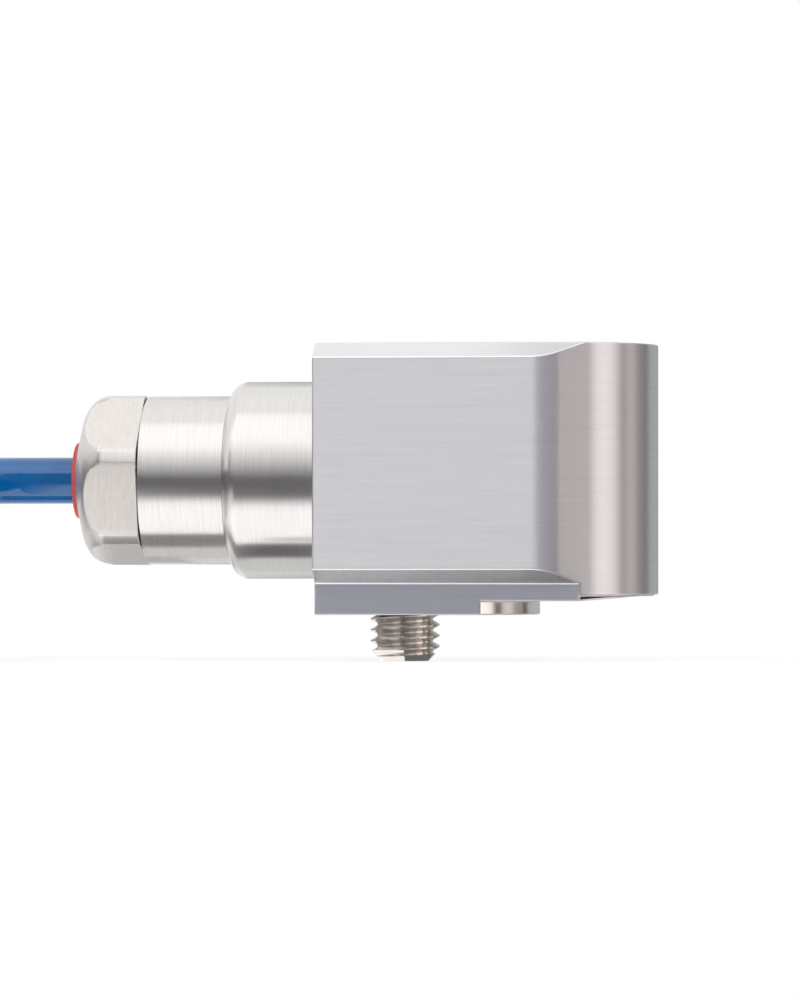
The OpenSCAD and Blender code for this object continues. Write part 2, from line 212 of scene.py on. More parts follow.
def grained_steel(name, light, dark, grain_mm, roughness, anisotropy, axis, depth_mm):
    finish, tree, shader = new_finish(name)
    place = add(tree, "ShaderNodeTexCoord")
    scale = [1 / mm(size) for size in grain_mm]
    stretch = add(tree, "ShaderNodeMapping", {"Scale": scale}, {"Vector": place.outputs["Object"]})
    noise = {"Scale": 1.0, "Detail": 3.0, "Roughness": 0.65}
    grain = add(tree, "ShaderNodeTexNoise", noise, {"Vector": stretch.outputs["Vector"]})
    tone_and_skin(tree, shader, grain, light, dark, depth_mm)
    along = add(tree, "ShaderNodeTangent", direction_type="RADIAL", axis=axis)
    shader.inputs["Metallic"].default_value = 1.0
    shader.inputs["Roughness"].default_value = roughness
    shader.inputs["Anisotropic"].default_value = anisotropy
    shader.inputs["Anisotropic Rotation"].default_value = 0.25
    tree.links.new(along.outputs["Tangent"], shader.inputs["Tangent"])
    return finish


# %% [markdown]
# Machined steel never has a razor edge: the cutter or a stone breaks it by a tenth or two, and that
# narrow band is what catches the light. A Bevel modifier breaks every sharp edge, and weighted normals
# keep the large faces flat, so that only the broken edge bends the light. The edges take the last
# finish that the piece has by then.

# %% Break the edges of a piece
sharp_angle = math.radians(20)


def break_edges(piece, width, segments):
    select_only(piece)
    bpy.ops.object.modifier_add(type="BEVEL")
    bevel = piece.modifiers[-1]
    bevel.width = mm(width)
    bevel.segments = segments
    bevel.limit_method = "ANGLE"
    bevel.angle_limit = sharp_angle
    bevel.use_clamp_overlap = False
    bevel.material = len(piece.data.materials) - 1
    bpy.ops.object.modifier_apply(modifier=bevel.name)
    bpy.ops.object.shade_smooth()
    bpy.ops.object.modifier_add(type="WEIGHTED_NORMAL")
    bpy.ops.object.modifier_apply(modifier=piece.modifiers[-1].name)
    print(piece.name, "faces:", len(piece.data.polygons))


# %% [markdown]
# The solids are sharp and made of loose triangles. So each one that shows is copied, its triangles are
# merged and its flat faces are made whole again, and then its edges are broken.

# %% Copy a solid and break its edges
merge_distance = 1e-6
flat_angle = math.radians(0.4)


def carry(piece, node):
    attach(piece, "root")
    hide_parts(node)


def broken_edges(node, name, finishes, width, segments):
    piece = bpy.data.objects.new(name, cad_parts[node].data.copy())
    bpy.context.scene.collection.objects.link(piece)
    select_only(piece)
    piece.data.materials.clear()
    for finish in finishes:
        piece.data.materials.append(finish)
    bpy.ops.object.mode_set(mode="EDIT")
    bpy.ops.mesh.select_all(action="SELECT")
    bpy.ops.mesh.customdata_custom_splitnormals_clear()
    bpy.ops.mesh.remove_doubles(threshold=merge_distance)
    bpy.ops.mesh.dissolve_limited(angle_limit=flat_angle)
    bpy.ops.object.mode_set(mode="OBJECT")
    break_edges(piece, width, segments)
    carry(piece, node)
    return piece


# %% [markdown]
# The housing is milled from one block: a square back, shoulders that run into a round nose, a chamfered
# top, and a stepped foot with a round pad under it. Its sides are ground, with the grooves lying level,
# and every edge was drawn over with a stone.

# %% Housing
# Ground stainless steel: pale grey, soft across the level grooves, with faint lines
ground_steel = grained_steel(
    "ground_stainless_steel", "#FCFAFD", "#EAE8EC",
    grain_mm=(9, 9, 0.16), roughness=0.46, anisotropy=0.97, axis="Z", depth_mm=0.004,
)
# Stoned edge: smooth and bright, a thin light line
stoned_edge = grained_steel(
    "stoned_steel_edge", "#F6F4F4", "#E8E6E6",
    grain_mm=(2, 2, 2), roughness=0.3, anisotropy=0.0, axis="Z", depth_mm=0.001,
)
housing = broken_edges(
    "housing", "milled_housing", [ground_steel, stoned_edge], width=0.16, segments=2
)

# %% [markdown]
# The other faces of the block were made in other ways, and the light shows it. The foot was left as the
# side of the cutter made it, smoother than the ground sides, and is darker partly by that finish and
# partly by painted shade of the overhang above it.

# %% Finishes of the foot, the chamfer and the slope
# Side-milled stainless steel, with level lines from the cutter's teeth: bluish and darker, partly by the
# finish and partly as painted shade under the overhang
shaded_side_milled = grained_steel(
    "side_milled_steel_painted_shade", "#DFE1EC", "#C2C4D0",
    grain_mm=(12, 12, 0.22), roughness=0.36, anisotropy=0.7, axis="Z", depth_mm=0.006,
)
# Chamfer over the top: ground last, so it is the brightest
chamfer_steel = grained_steel(
    "fresh_ground_steel", "#FBFAFB", "#ECEBEE",
    grain_mm=(9, 9, 0.16), roughness=0.5, anisotropy=0.9, axis="Z", depth_mm=0.004,
)
# Slope over the foot: cut with the tip of a mill, so its grain is short and dull; its darker grey tone is
# painted shade, as the slope looks down
shaded_slope_steel = grained_steel(
    "end_milled_steel_painted_shade", "#DAD8D9", "#B9B7B9",
    grain_mm=(0.5, 0.3, 0.3), roughness=0.3, anisotropy=0.0, axis="Z", depth_mm=0.006,
)

# %% Finishes of the top, the step and the pad
# Top and underside: ground along the part, so the tangent lies in their plane and runs along it too
top_steel = grained_steel(
    "ground_steel_top", "#F0EEF2", "#D6D4D9",
    grain_mm=(9, 0.16, 9), roughness=0.5, anisotropy=0.9, axis="Y", depth_mm=0.004,
)
# Step under the nose: painted shade, a dark tone for the recess under the nose that the light hardly
# reaches
painted_shade_step_steel = grained_steel(
    "painted_shade_step_steel", "#5E5855", "#47423F",
    grain_mm=(0.4, 0.4, 0.4), roughness=0.55, anisotropy=0.0, axis="Z", depth_mm=0.01,
)
# Round pad under the foot: turned last, so it is bright
pad_steel = grained_steel(
    "turned_steel_pad", "#FAF7F5", "#E9E6E3",
    grain_mm=(5, 5, 0.12), roughness=0.22, anisotropy=0.7, axis="Z", depth_mm=0.004,
)

# %% [markdown]
# A face of the block is known by the way it looks, and among the upright ones by where it lies.

# %% Give each face of the housing its finish
level_face = 0.85
sloping_face = 0.4
step_top = 2.4
step_start = 20.9
pad_top = 1.6
pad_start = 6
pad_r = 15.3
foot_top = 3.7


def face_finish(face):
    middle = face.center
    if abs(face.normal.z) > level_face:
        return top_steel
    if face.normal.z > sloping_face:
        return chamfer_steel
    # Faces that look down take the slope's finish, whose darker tone is painted shade
    if face.normal.z < -sloping_face:
        return shaded_slope_steel
    # The step under the nose takes a dark tone, painted shade of its recess
    if middle.z < mm(step_top) and middle.x > mm(step_start):
        return painted_shade_step_steel
    if middle.z < mm(pad_top) and middle.x > mm(pad_start) and middle.xy.length > mm(pad_r):
        return pad_steel
    # The foot under the overhang takes the milled finish, whose darker tone is partly painted shade
    if middle.z < mm(foot_top):
        return shaded_side_milled
    return ground_steel


for finish in (shaded_side_milled, chamfer_steel, shaded_slope_steel, top_steel, painted_shade_step_steel, pad_steel):
    housing.data.materials.append(finish)
finish_names = [finish.name for finish in housing.data.materials]
for face in housing.data.polygons:
    if face.material_index == 0:
        face.material_index = finish_names.index(face_finish(face).name)
for number, name in enumerate(finish_names):
    print(name, "faces:", sum(face.material_index == number for face in housing.data.polygons))

# %% [markdown]
# Neck and gland are turned on a lathe, so their grooves run round the axis and their reflections stay
# crisp from top to bottom: a bright band, the dark room at the axis, and the bright table below.

# %% Neck and gland
# Turned stainless steel: bright, with fine rings and sharp bands of light
turned_steel = grained_steel(
    "turned_stainless_steel", "#EDEBE9", "#D3D0CE",
    grain_mm=(0.12, 5, 5), roughness=0.26, anisotropy=0.75, axis="X", depth_mm=0.004,
)
broken_edges("neck_sleeve", "turned_neck", [turned_steel], width=0.15, segments=2)
broken_edges("gland_body", "turned_gland", [turned_steel], width=0.1, segments=2)

# %% [markdown]
# The nut that tightens the gland is turned to a dome first and then milled to six flats, so each flat
# ends in a curved edge where it leaves the dome. Cutting a dome with a prism leaves ragged triangles
# along that edge. So a grid is rolled up instead: its columns stand round the axis, closest where a flat
# ends, and its rows follow the turned outline as far as the flat allows, which puts one clean row of
# edges on every curve.

# %% Outline of the nut
nut_end = -37.9
nut_back = -30.0
nut_axis = 15.5
flat_r = 9.0
turned_r = 9.95
dome_r = 3.2
dome_steps = 8
lip_r = 4.45
lip_t = 1.2
thread_r = 7.65
shoulder = nut_end + lip_t
slope = math.radians(15)
meet = Vector((turned_r - dome_r + dome_r * math.sin(slope), 0))
meet.y = nut_end + (meet.x - lip_r) * math.tan(slope)
dome_x = meet.y + dome_r * math.cos(slope)


def nut_outline(radius):
    end = math.asin(min(1, (radius - turned_r + dome_r) / dome_r))
    outline = [(lip_r, nut_end)]
    for i in range(dome_steps + 1):
        turn = slope + (end - slope) * i / dome_steps
        outline.append((turned_r - dome_r + dome_r * math.sin(turn), dome_x - dome_r * math.cos(turn)))
    outline += [(radius, nut_back), (thread_r, nut_back), (thread_r, shoulder), (lip_r, shoulder)]
    return outline + outline[:1]


# %% Columns round the nut
flats = 6
first_flat = 44
flat_turn = 360 / flats
half_turn = flat_turn / 2
flat_steps = 6
flat_edge = math.degrees(math.acos(flat_r / turned_r))
in_flat = [-half_turn, (-half_turn - flat_edge) / 2]
in_flat += [flat_edge * (i / flat_steps - 1) for i in range(2 * flat_steps + 1)]
in_flat.append((half_turn + flat_edge) / 2)
columns = [(first_flat + flat_turn * flat, turn) for flat in range(flats) for turn in in_flat]
columns.append(columns[0])
rows = len(nut_outline(flat_r))
print("columns:", len(columns), "rows:", rows)

# %% Nut
bpy.ops.object.select_all(action="DESELECT")
bpy.ops.mesh.primitive_grid_add(x_subdivisions=len(columns) - 1, y_subdivisions=rows - 1, size=1)
nut = bpy.context.active_object
nut.name = "domed_nut"
for vertex in nut.data.vertices:
    flat, turn = columns[round((vertex.co.x + 0.5) * (len(columns) - 1))]
    limit = min(turned_r, flat_r / math.cos(math.radians(turn)))
    radius, x = nut_outline(limit)[round((vertex.co.y + 0.5) * (rows - 1))]
    angle = math.radians(flat + turn)
    vertex.co = (mm(x), mm(radius * math.sin(angle)), mm(nut_axis - radius * math.cos(angle)))
bpy.ops.object.mode_set(mode="EDIT")
bpy.ops.mesh.select_all(action="SELECT")
bpy.ops.mesh.remove_doubles(threshold=merge_distance)
bpy.ops.mesh.normals_make_consistent(inside=False)
bpy.ops.object.mode_set(mode="OBJECT")

# %% [markdown]
# The flats shine most. Broken edges take the finish that is last at that moment, so the dome's finish is
# added after them. It goes to every face that leans along the axis, which the flats and the bore don't.

# %% Finishes of the nut
# Milled stainless steel: warm pale grey, softly shining
milled_steel = grained_steel(
    "milled_stainless_steel", "#EFE9E5", "#D7D1CC",
    grain_mm=(0.3, 1.5, 1.5), roughness=0.27, anisotropy=0.0, axis="X", depth_mm=0.006,
)
# Filed edges of the nut: duller than the flats, so that no dark line shows
filed_edge = grained_steel(
    "filed_steel_edge", "#F6F4F4", "#E8E6E6",
    grain_mm=(2, 2, 2), roughness=0.55, anisotropy=0.0, axis="X", depth_mm=0.001,
)
nut.data.materials.append(milled_steel)
nut.data.materials.append(filed_edge)
break_edges(nut, width=0.1, segments=2)
carry(nut, "gland_nut")
# Turned dome: duller than the flats, so that it shades softly
dome_steel = grained_steel(
    "turned_dome_steel", "#EFE9E5", "#D7D1CC",
    grain_mm=(0.3, 1.5, 1.5), roughness=0.45, anisotropy=0.0, axis="X", depth_mm=0.004,
)
dome_lean = 0.1
dome_number = len(nut.data.materials)
nut.data.materials.append(dome_steel)
for face in nut.data.polygons:
    if face.material_index == 0 and abs(face.normal.x) > dome_lean:
        face.material_index = dome_number

# %% [markdown]
# The stud is an 8 mm screw with a pitch of 1.25 mm and a socket for a key in its end. The solid is a
# plain bar, because a thread is slow to compute with, so the thread is cut here. A Screw modifier winds
# a small trapezium upwards into a ridge. Boolean modifiers join it to a core at the root's radius, cut
# both to a bar with a conical end, as a lathe chamfers a screw, and take the key socket out.

# %% Shapes for the stud
bar_sides = 96
touch = 0.01


def round_bar(name, radius, low, high, sides=bar_sides, end_chamfer=0):
    bpy.ops.object.select_all(action="DESELECT")
    middle = (0, 0, mm((low + high) / 2))
    bpy.ops.mesh.primitive_cylinder_add(
        vertices=sides, radius=mm(radius), depth=mm(high - low), location=middle
    )
    bar = bpy.context.active_object
    bar.name = name
    bpy.ops.object.transform_apply(location=True, rotation=True, scale=True)
    if end_chamfer:
        bpy.ops.object.mode_set(mode="EDIT")
        bpy.ops.mesh.select_mode(type="EDGE")
        bpy.ops.mesh.select_all(action="DESELECT")
        bpy.ops.object.mode_set(mode="OBJECT")
        places = bar.data.vertices
        for edge in bar.data.edges:
            edge.select = all(places[i].co.z < mm(low + touch) for i in edge.vertices)
        bpy.ops.object.mode_set(mode="EDIT")
        bpy.ops.mesh.bevel(offset=mm(end_chamfer), offset_type="OFFSET", segments=1)
        bpy.ops.object.mode_set(mode="OBJECT")
    return bar


def combine(piece, other, operation):
    select_only(piece)
    bpy.ops.object.modifier_add(type="BOOLEAN")
    change = piece.modifiers[-1]
    change.operation = operation
    change.solver = "EXACT"
    change.object = other
    bpy.ops.object.modifier_apply(modifier=change.name)
    bpy.data.objects.remove(other)


# %% Section of the thread's ridge
stud_r = 4.0
root_r = 3.23
tip_z = -5.4
pitch = 1.25
thread_start = 0.43
ridge_sunk = 0.1
crest = 0.08
flank = math.radians(30)
base = crest + (stud_r - root_r + ridge_sunk) * math.tan(flank)
base_r = root_r - ridge_sunk
corners = [(base_r, -base), (stud_r, -crest), (base_r, base), (stud_r, crest)]
bpy.ops.object.select_all(action="DESELECT")
bpy.ops.mesh.primitive_plane_add(size=mm(1))
ridge = bpy.context.active_object
for vertex, (radius, height) in zip(ridge.data.vertices, corners):
    vertex.co = (mm(radius), 0, mm(tip_z - pitch + thread_start + height))
bpy.ops.object.mode_set(mode="EDIT")
bpy.ops.mesh.select_all(action="SELECT")
bpy.ops.mesh.delete(type="ONLY_FACE")
bpy.ops.object.mode_set(mode="OBJECT")

# %% Wind the ridge
ridge_turns = 5
ridge_steps = 72
ridge_merge = 1e-7
bpy.ops.object.modifier_add(type="SCREW")
screw = ridge.modifiers[-1]
screw.screw_offset = mm(pitch)
screw.iterations = ridge_turns
screw.steps = ridge_steps
screw.render_steps = ridge_steps
bpy.ops.object.modifier_apply(modifier=screw.name)
bpy.ops.object.mode_set(mode="EDIT")
bpy.ops.mesh.select_all(action="SELECT")
bpy.ops.mesh.remove_doubles(threshold=ridge_merge)
bpy.ops.mesh.fill_holes(sides=len(corners))
bpy.ops.mesh.select_all(action="SELECT")
bpy.ops.mesh.normals_make_consistent(inside=False)
bpy.ops.object.mode_set(mode="OBJECT")
print("ridge faces:", len(ridge.data.polygons))

# %% Stud
stud_top = 5.5
core_below = 1.6
bar_above = 0.5
tip_chamfer = 1.3
key_below = 1
key_depth = 3
key_width = 4
key_r = key_width / 2 / math.cos(math.pi / 6)
smooth_angle = math.radians(32)
stud = round_bar("threaded_stud", root_r, tip_z - core_below, stud_top)
combine(stud, ridge, "UNION")
# The bar is a touch thinner than the ridge, so that it cuts the crests cleanly
bar = round_bar("chamfered_bar", stud_r - touch, tip_z, stud_top + bar_above, end_chamfer=tip_chamfer)
combine(stud, bar, "INTERSECT")
combine(stud, round_bar("key", key_r, tip_z - key_below, tip_z + key_depth, sides=6), "DIFFERENCE")
select_only(stud)
bpy.ops.object.shade_smooth_by_angle(angle=smooth_angle)
# Rolled steel thread: brighter and smoother than the ground housing
thread_steel = grained_steel(
    "rolled_thread_steel", "#EAE5E0", "#CFC9C3",
    grain_mm=(1.2, 1.2, 0.3), roughness=0.2, anisotropy=0.3, axis="Z", depth_mm=0.003,
)
stud.data.materials.append(thread_steel)
carry(stud, "mounting_stud")
print("stud faces:", len(stud.data.polygons))

# %% [markdown]
# Everything that isn't metal here was moulded or extruded: rubber seals, the cable's jacket, the cores'
# insulation, nylon straps, the board and its chips. Their colour clouds a little and their skin is never
# quite smooth, so one function makes them all from a colour, a gloss and the size of the unevenness.

# %% Moulded and extruded finishes


def moulded(name, light, dark, cloud_mm, roughness, depth_mm, ior=1.5):
    finish, tree, shader = new_finish(name)
    place = add(tree, "ShaderNodeTexCoord")
    noise = {"Scale": 1 / mm(cloud_mm), "Detail": 3.0}
    clouds = add(tree, "ShaderNodeTexNoise", noise, {"Vector": place.outputs["Object"]})
    tone_and_skin(tree, shader, clouds, light, dark, depth_mm)
    shader.inputs["Roughness"].default_value = roughness
    shader.inputs["IOR"].default_value = ior
    return finish


def dress(finish, *nodes):
    for node in nodes:
        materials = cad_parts[node].data.materials
        materials.clear()
        materials.append(finish)


# %% [markdown]
# The seal's lip stands half a millimetre out of the nut round the cable. It is soft red rubber, matt,
# with its edge rounded by the mould.

# %% Red seal
# Silicone rubber: matt red that hardly shines
red_rubber = moulded(
    "red_silicone_rubber", "#B7524C", "#A3423D", cloud_mm=0.6, roughness=0.6, depth_mm=0.01
)
broken_edges("cable_seal", "red_seal", [red_rubber], width=0.2, segments=3)

# %% [markdown]
# The jacket is extruded polyurethane: a strong blue with a clear shine, and faint waves in its skin.

# %% Cable jacket
# Extruded polyurethane: deep blue, with clear bright bands along it
jacket = moulded(
    "blue_polyurethane", "#00538C", "#004A7E", cloud_mm=2.5, roughness=0.09, depth_mm=0.001, ior=1.7
)
cable_curve.materials.append(jacket)
dress(jacket, "cable_entry")

# %% [markdown]
# Two nylon straps hold the coil, across its diagonal. Each is a thin band that is pulled tight round the
# bundle, so its line is the shortest one round all the turns that pass there: the convex hull of their
# sections.

# %% Line of a strap round the coil
strap_slack = 0.06
rim_points = 24
bared_end = (outer_r, route[-1].z)


def strap_line(turn, beside):
    first = (turn - coil_start) % 360 / 360
    crossings = [coil_point(first + lap) for lap in range(math.ceil(turns_all - first))]
    sections = [((place - coil_mid).xy.length, place.z) for place in crossings] + beside
    reach = cable_d / 2 + strap_slack
    rim = []
    for radius, height in sections:
        for i in range(rim_points):
            angle = 2 * math.pi * i / rim_points
            rim.append(Vector((radius + reach * math.cos(angle), height + reach * math.sin(angle))))
    return [rim[i] for i in convex_hull_2d(rim)]


# %% [markdown]
# On a real strap the tongue is pulled through a lock at its other end, a small block with rounded edges,
# which is modelled once and copied. For the band, a circle is laid on the strap's line and extruded to
# its width, and a Solidify modifier gives it thickness.

# %% Lock of a strap
strap_t = 0.9
lock_size = (6, 5.6, 3)
lock_edge = 0.7
lock_radius = 28.6
lock_sunk = 0.4
coil_top = coil_mid.z + cable_d / 2 + strap_slack
bpy.ops.object.select_all(action="DESELECT")
lock_place = (mm(lock_radius), 0, mm(coil_top + strap_t + lock_size[2] / 2 - lock_sunk))
bpy.ops.mesh.primitive_cube_add(size=1, location=lock_place)
lock = bpy.context.active_object
lock.scale = [mm(size) for size in lock_size]
bpy.ops.object.transform_apply(location=True, rotation=True, scale=True)
bpy.ops.object.mode_set(mode="EDIT")
bpy.ops.mesh.select_all(action="SELECT")
bpy.ops.mesh.bevel(offset=mm(lock_edge), segments=3)
bpy.ops.object.mode_set(mode="OBJECT")
# Nylon: black, satin
nylon = moulded("black_nylon", "#242424", "#1B1B1B", cloud_mm=0.8, roughness=0.45, depth_mm=0.01)
lock.data.materials.append(nylon)

# %% Band of a strap
strap_w = 4.0
strap_edge = 0.2
strap_corner = math.radians(50)


def strap_band(name, line):
    bpy.ops.object.select_all(action="DESELECT")
    bpy.ops.mesh.primitive_circle_add(vertices=len(line), radius=1)
    band = bpy.context.active_object
    band.name = name
    for vertex, place in zip(band.data.vertices, line):
        vertex.co = (mm(place.x), mm(-strap_w / 2), mm(place.y))
    bpy.ops.object.mode_set(mode="EDIT")
    bpy.ops.mesh.select_all(action="SELECT")
    bpy.ops.mesh.remove_doubles(threshold=merge_distance)
    bpy.ops.mesh.extrude_region_move(TRANSFORM_OT_translate={"value": (0, mm(strap_w), 0)})
    bpy.ops.mesh.select_all(action="SELECT")
    bpy.ops.mesh.normals_make_consistent(inside=False)
    bpy.ops.object.mode_set(mode="OBJECT")
    bpy.ops.object.modifier_add(type="SOLIDIFY")
    band.modifiers[-1].thickness = mm(strap_t)
    band.modifiers[-1].offset = 1
    bpy.ops.object.modifier_apply(modifier=band.modifiers[-1].name)
    bpy.ops.object.modifier_add(type="BEVEL")
    band.modifiers[-1].width = mm(strap_edge)
    band.modifiers[-1].segments = 2
    band.modifiers[-1].angle_limit = strap_corner
    bpy.ops.object.modifier_apply(modifier=band.modifiers[-1].name)
    band.data.materials.append(nylon)
    return band


# %% Both straps on the coil


def strap(node, name, turn, beside):
    band = strap_band(name, strap_line(turn, beside))
    own_lock = bpy.data.objects.new(name + "_lock", lock.data.copy())
    bpy.context.scene.collection.objects.link(own_lock)
    select_only(band)
    own_lock.select_set(True)
    bpy.ops.object.join()
    bpy.ops.object.shade_smooth_by_angle(angle=smooth_angle)
    band.location = (mm(coil_mid.x), mm(coil_mid.y), 0)
    band.rotation_euler = (0, 0, math.radians(turn))
    bpy.ops.object.transform_apply(location=True, rotation=True, scale=True)
    carry(band, node)
    print(name, "in mm:", [round(size * 1000, 1) for size in band.dimensions])
    return band


strap_near = strap("coil_tie_near", "strap_near", -45, [bared_end])
strap_far = strap("coil_tie_far", "strap_far", 135, [])
bpy.data.objects.remove(lock)

# %% [markdown]
# With its straps made, the cable is complete.

# %% [markdown]
# At its far end the jacket is stripped, and four insulated cores go on to crimped ferrules. The same
# four colours run inside the neck, from the jacket's end to the pins of the board.

# %% Cores
core_colours = {
    "brown": ("#7A4A2C", "#6B3F24"),
    "white": ("#E9E8E3", "#DDDBD4"),
    "blue": ("#2A62B8", "#2256A6"),
    "black": ("#262626", "#1D1D1D"),
}
for colour, (light, dark) in core_colours.items():
    # Core insulation: smooth extruded plastic
    insulation = moulded(
        f"{colour}_core_insulation", light, dark, cloud_mm=1.5, roughness=0.4, depth_mm=0.005
    )
    dress(insulation, f"core_{colour}", f"tail_core_{colour}")

# %% Metal of the end ferrules, pins and shield
# Tinned copper: pale, a little dull
tinned = grained_steel(
    "tinned_copper", "#D8D6D0", "#C9C6C0",
    grain_mm=(0.4, 0.4, 0.4), roughness=0.35, anisotropy=0.0, axis="X", depth_mm=0.004,
)
dress(tinned, "end_ferrules")
# Brass: yellow, turned
brass = grained_steel(
    "turned_brass", "#D9BC76", "#C7A761",
    grain_mm=(0.2, 1.5, 1.5), roughness=0.3, anisotropy=0.3, axis="X", depth_mm=0.003,
)
dress(brass, "terminal_pins", "shield_ferrule")

# %% [markdown]
# Nothing inside the sealed housing shows, but a part that is taken apart should be right inside too.
# The board, its chips, the carrier, the resin and the rings get the plain finishes of their materials.

# %% Board and chips
# Solder mask over glass fibre: green, satin
mask = moulded("green_solder_mask", "#1F6B3A", "#185A30", cloud_mm=0.7, roughness=0.4, depth_mm=0.004)
dress(mask, "circuit_board")
# Fired ceramic: grey, dull
ceramic = moulded("grey_ceramic", "#6A6A6E", "#5C5C60", cloud_mm=0.3, roughness=0.5, depth_mm=0.004)
dress(ceramic, "accelerometer_chip")
# Moulded epoxy: black, dull
epoxy = moulded("black_epoxy", "#2A2A2B", "#202021", cloud_mm=0.3, roughness=0.55, depth_mm=0.006)
dress(epoxy, "amplifier_chip", "voltage_regulator")
# Barium titanate ceramic: tan
titanate = moulded("tan_ceramic", "#B59A78", "#A68B69", cloud_mm=0.3, roughness=0.5, depth_mm=0.004)
dress(titanate, "filter_capacitors")

# %% Carrier, resin and rings
# Glass-filled nylon: dark grey
filled_nylon = moulded("grey_nylon", "#4A4A4C", "#3E3E40", cloud_mm=0.6, roughness=0.55, depth_mm=0.01)
dress(filled_nylon, "board_carrier")
# Poured epoxy resin: brown, glossy
resin = moulded("brown_resin", "#5A3E28", "#4C3320", cloud_mm=2.0, roughness=0.25, depth_mm=0.01)
dress(resin, "resin_plug")
# Acetal: off-white, slippery
acetal = moulded("white_acetal", "#E4E2DA", "#D8D5CC", cloud_mm=0.8, roughness=0.4, depth_mm=0.005)
dress(acetal, "thrust_ring")
# Nitrile rubber: black, matt
nitrile = moulded("black_nitrile", "#232323", "#1A1A1A", cloud_mm=0.4, roughness=0.65, depth_mm=0.008)
dress(nitrile, "o_ring")

# %% [markdown]
# The stage is a white room. The camera and the metal see white, and the light on the object itself comes
# from a dimmer room and soft lamps, at a level at which a colour renders about as it is written.

# %% Room
room_light = 0.62
bpy.context.scene.view_settings.view_transform = "Standard"
world = bpy.data.worlds.new("white_room")
bpy.context.scene.world = world
world.use_nodes = True
room = world.node_tree
ray = add(room, "ShaderNodeLightPath")
seen = ray.outputs["Is Camera Ray"]
for kind in ("Is Glossy Ray", "Is Transmission Ray"):
    either = add(room, "ShaderNodeMath", links={0: seen, 1: ray.outputs[kind]}, operation="MAXIMUM")
    seen = either.outputs[0]
level = add(room, "ShaderNodeMapRange", {"To Min": room_light, "To Max": 1.0}, {"Value": seen})
background = room.nodes["Background"]
background.inputs["Color"].default_value = (1, 1, 1, 1)
room.links.new(level.outputs[0], background.inputs["Strength"])

# %% [markdown]
# Polished metal is drawn by what it reflects. A photographer stands white and dark boards round it, and
# the camera's own side of the room is dark. Here the boards glow, evenly or from one level to another,
# and only reflections see them.

# %% Glow that only reflections see


def mirror_only(piece, axis, ends, levels, tint="#FFFFFF"):
    finish = bpy.data.materials.new(piece.name)
    finish.use_nodes = True
    tree = finish.node_tree
    tree.nodes.clear()
    place = add(tree, "ShaderNodeTexCoord")
    parts = add(tree, "ShaderNodeSeparateXYZ", links={0: place.outputs["Object"]})
    shade = add(
        tree, "ShaderNodeMapRange",
        {"From Min": ends[0], "From Max": ends[1], "To Min": levels[0], "To Max": levels[1]},
        {"Value": parts.outputs[axis]},
    )
    glow = add(tree, "ShaderNodeEmission", {"Color": linear(tint)}, {"Strength": shade.outputs[0]})
    add(tree, "ShaderNodeOutputMaterial", links={"Surface": glow.outputs[0]})
    finish.cycles.emission_sampling = "NONE"
    piece.data.materials.append(finish)
    piece.visible_camera = False
    piece.visible_diffuse = False
    piece.visible_shadow = False
    piece.visible_transmission = False


# %% [markdown]
# Each board is a grid bent to a patch of a large sphere, between two bearings and two heights in degrees.
# Bearings are counted from the front, to the right. A board's levels are those of its lower and its
# upper edge.

# %% Board on the sphere
board_r = 1.2
board_steps = 24


def board(name, bearing, height, levels, tint="#FFFFFF"):
    bpy.ops.object.select_all(action="DESELECT")
    bpy.ops.mesh.primitive_grid_add(x_subdivisions=board_steps, y_subdivisions=board_steps, size=1)
    patch = bpy.context.active_object
    patch.name = name
    for vertex in patch.data.vertices:
        turn = math.radians(bearing[0] + (vertex.co.x + 0.5) * (bearing[1] - bearing[0]))
        rise = math.radians(height[0] + (vertex.co.y + 0.5) * (height[1] - height[0]))
        level_r = board_r * math.cos(rise)
        vertex.co = (level_r * math.sin(turn), -level_r * math.cos(turn), board_r * math.sin(rise))
    ends = [board_r * math.sin(math.radians(rise)) for rise in height]
    mirror_only(patch, "Z", ends, levels, tint)


# %% Boards in front and behind
front = (-70, 8)
behind = (90, 270)
board("dark_room", front, height=(-20, 4), levels=(0.14, 0.14), tint="#F8F4F8")
board("front_haze", front, height=(4, 44), levels=(0.2, 1.4))
board("front_softbox", front, height=(44, 82), levels=(1.4, 1.4))
board("table_edge", front, height=(-30, -19), levels=(1.3, 0.2))
board("bright_table", front, height=(-86, -30), levels=(1.4, 1.4))
board("overhead_behind", behind, height=(50, 86), levels=(1.0, 1.1))
board("table_behind", behind, height=(-78, -40), levels=(0.75, 0.72))

# %% Boards from the right round to the back
board("right_flag", (8, 40), height=(-85, 44), levels=(0.38, 0.38), tint="#F4F4FF")
board("flag_edge", (40, 56), height=(-85, 50), levels=(0.2, 0.2), tint="#FFF4F2")
board("right_softbox", (56, 87.4), height=(-58, 68), levels=(1.2, 1.2), tint="#FFF8F4")
board("brown_board", (87.4, 97), height=(-60, 60), levels=(0.06, 0.06), tint="#FFF0EA")
board("side_board", (97, 112), height=(-50, 50), levels=(0.73, 0.73), tint="#FFF6F2")
board("low_side_board", (112, 127), height=(-50, 50), levels=(0.33, 0.33), tint="#FFF6F2")
board("dark_gap", (127, 135), height=(-50, 50), levels=(0.05, 0.05))
board("grey_backdrop", (135, 190), height=(-40, 40), levels=(0.47, 0.47), tint="#F8FFF8")

# %% [markdown]
# Surfaces that look down see what lies close to them, so small cards are laid under the part, each
# between two corners. A card's levels run along the part, or upwards where the card stands across it.

# %% Small card close to the part


